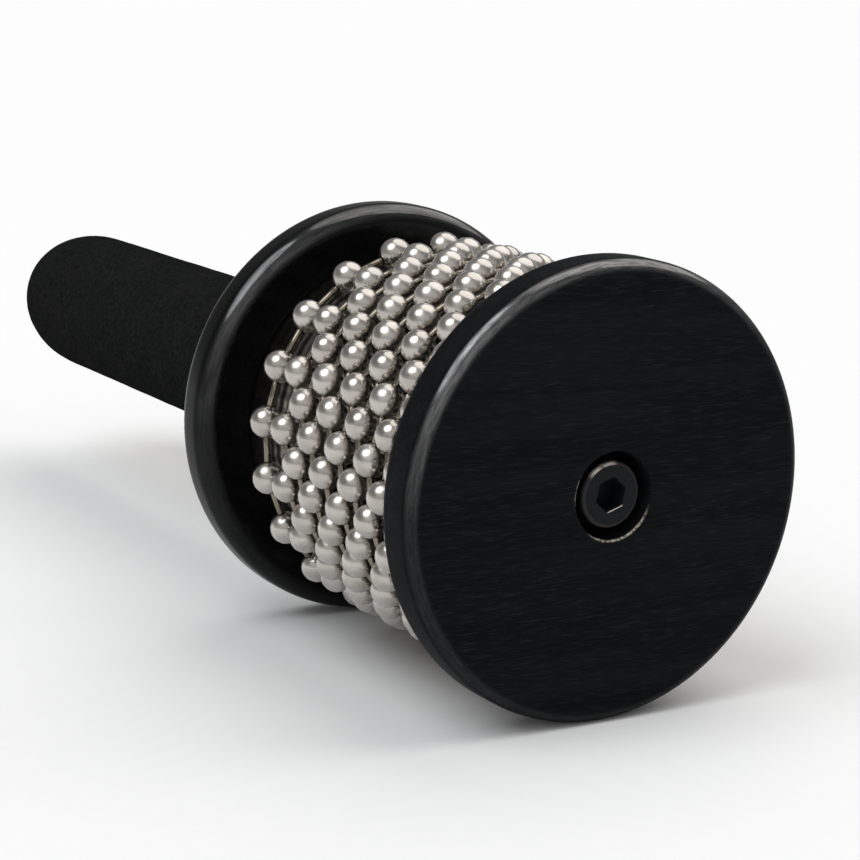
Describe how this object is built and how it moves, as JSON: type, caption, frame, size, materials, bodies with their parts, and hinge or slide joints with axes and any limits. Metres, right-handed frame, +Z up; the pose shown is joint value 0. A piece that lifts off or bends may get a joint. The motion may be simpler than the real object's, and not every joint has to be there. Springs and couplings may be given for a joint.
{
  "type": "cabasa",
  "caption": "Cabasa shaker: nested loops of steel ball chain turn round a metal-clad drum between two black discs, on a foam-covered handle.",
  "frame": {"origin": "on the surface that the two discs lie on, under the middle of the overall length", "axes": "+Y along the drum axis from the front disc towards the handle's end, +Z up, +X to the right seen from the front disc"},
  "size_m": [0.09, 0.271, 0.09],
  "materials": {
    "satin_black_wood": "satin",
    "gloss_black_wood": "gloss",
    "core_wood": "matte",
    "drum_sheet": "satin",
    "nickel_plate": "polished",
    "black_oxide_steel": "satin",
    "insert_brass": "satin",
    "foam_rubber": "matte"
  },
  "bodies": {
    "handle_and_drum": {"front_disc": "satin_black_wood", "rear_disc": "gloss_black_wood", "drum_core": "core_wood", "drum_sleeve": "drum_sheet", "front_dowel_pins": "core_wood", "rear_dowel_pins": "core_wood", "centre_screw": "black_oxide_steel", "screw_washer": "black_oxide_steel", "threaded_insert": "insert_brass", "handle_dowel": "core_wood", "grip_sleeve": "foam_rubber"},
    "loop_01": {"loop_01_beads": "nickel_plate", "loop_01_links": "nickel_plate"},
    "loop_02": {"loop_02_beads": "nickel_plate", "loop_02_links": "nickel_plate"},
    "loop_03": {"loop_03_beads": "nickel_plate", "loop_03_links": "nickel_plate"},
    "loop_04": {"loop_04_beads": "nickel_plate", "loop_04_links": "nickel_plate"},
    "loop_05": {"loop_05_beads": "nickel_plate", "loop_05_links": "nickel_plate"},
    "loop_06": {"loop_06_beads": "nickel_plate", "loop_06_links": "nickel_plate"},
    "loop_07": {"loop_07_beads": "nickel_plate", "loop_07_links": "nickel_plate"},
    "loop_08": {"loop_08_beads": "nickel_plate", "loop_08_links": "nickel_plate"},
    "loop_09": {"loop_09_beads": "nickel_plate", "loop_09_links": "nickel_plate"},
    "loop_10": {"loop_10_beads": "nickel_plate", "loop_10_links": "nickel_plate"}
  },
  "joints": [
    {"name": "loop_01_turn", "type": "hinge", "parent": "handle_and_drum", "child": "loop_01", "pos_m": [0, 0, 0.045], "axis": [0, 1, 0], "continuous": true},
    {"name": "loop_02_turn", "type": "hinge", "parent": "handle_and_drum", "child": "loop_02", "pos_m": [0, 0, 0.045], "axis": [0, 1, 0], "continuous": true},
    {"name": "loop_03_turn", "type": "hinge", "parent": "handle_and_drum", "child": "loop_03", "pos_m": [0, 0, 0.045], "axis": [0, 1, 0], "continuous": true},
    {"name": "loop_04_turn", "type": "hinge", "parent": "handle_and_drum", "child": "loop_04", "pos_m": [0, 0, 0.045], "axis": [0, 1, 0], "continuous": true},
    {"name": "loop_05_turn", "type": "hinge", "parent": "handle_and_drum", "child": "loop_05", "pos_m": [0, 0, 0.045], "axis": [0, 1, 0], "continuous": true},
    {"name": "loop_06_turn", "type": "hinge", "parent": "handle_and_drum", "child": "loop_06", "pos_m": [0, 0, 0.045], "axis": [0, 1, 0], "continuous": true},
    {"name": "loop_07_turn", "type": "hinge", "parent": "handle_and_drum", "child": "loop_07", "pos_m": [0, 0, 0.045], "axis": [0, 1, 0], "continuous": true},
    {"name": "loop_08_turn", "type": "hinge", "parent": "handle_and_drum", "child": "loop_08", "pos_m": [0, 0, 0.045], "axis": [0, 1, 0], "continuous": true},
    {"name": "loop_09_turn", "type": "hinge", "parent": "handle_and_drum", "child": "loop_09", "pos_m": [0, 0, 0.045], "axis": [0, 1, 0], "continuous": true},
    {"name": "loop_10_turn", "type": "hinge", "parent": "handle_and_drum", "child": "loop_10", "pos_m": [0, 0, 0.045], "axis": [0, 1, 0], "continuous": true}
  ],
  "couplings": [
    {"joint": "loop_01_turn", "follows": "loop_09_turn", "ratio": 1},
    {"joint": "loop_02_turn", "follows": "loop_09_turn", "ratio": 1},
    {"joint": "loop_03_turn", "follows": "loop_09_turn", "ratio": 1},
    {"joint": "loop_04_turn", "follows": "loop_09_turn", "ratio": 1},
    {"joint": "loop_05_turn", "follows": "loop_09_turn", "ratio": 1},
    {"joint": "loop_06_turn", "follows": "loop_09_turn", "ratio": 1},
    {"joint": "loop_07_turn", "follows": "loop_09_turn", "ratio": 1},
    {"joint": "loop_08_turn", "follows": "loop_09_turn", "ratio": 1}
  ]
}
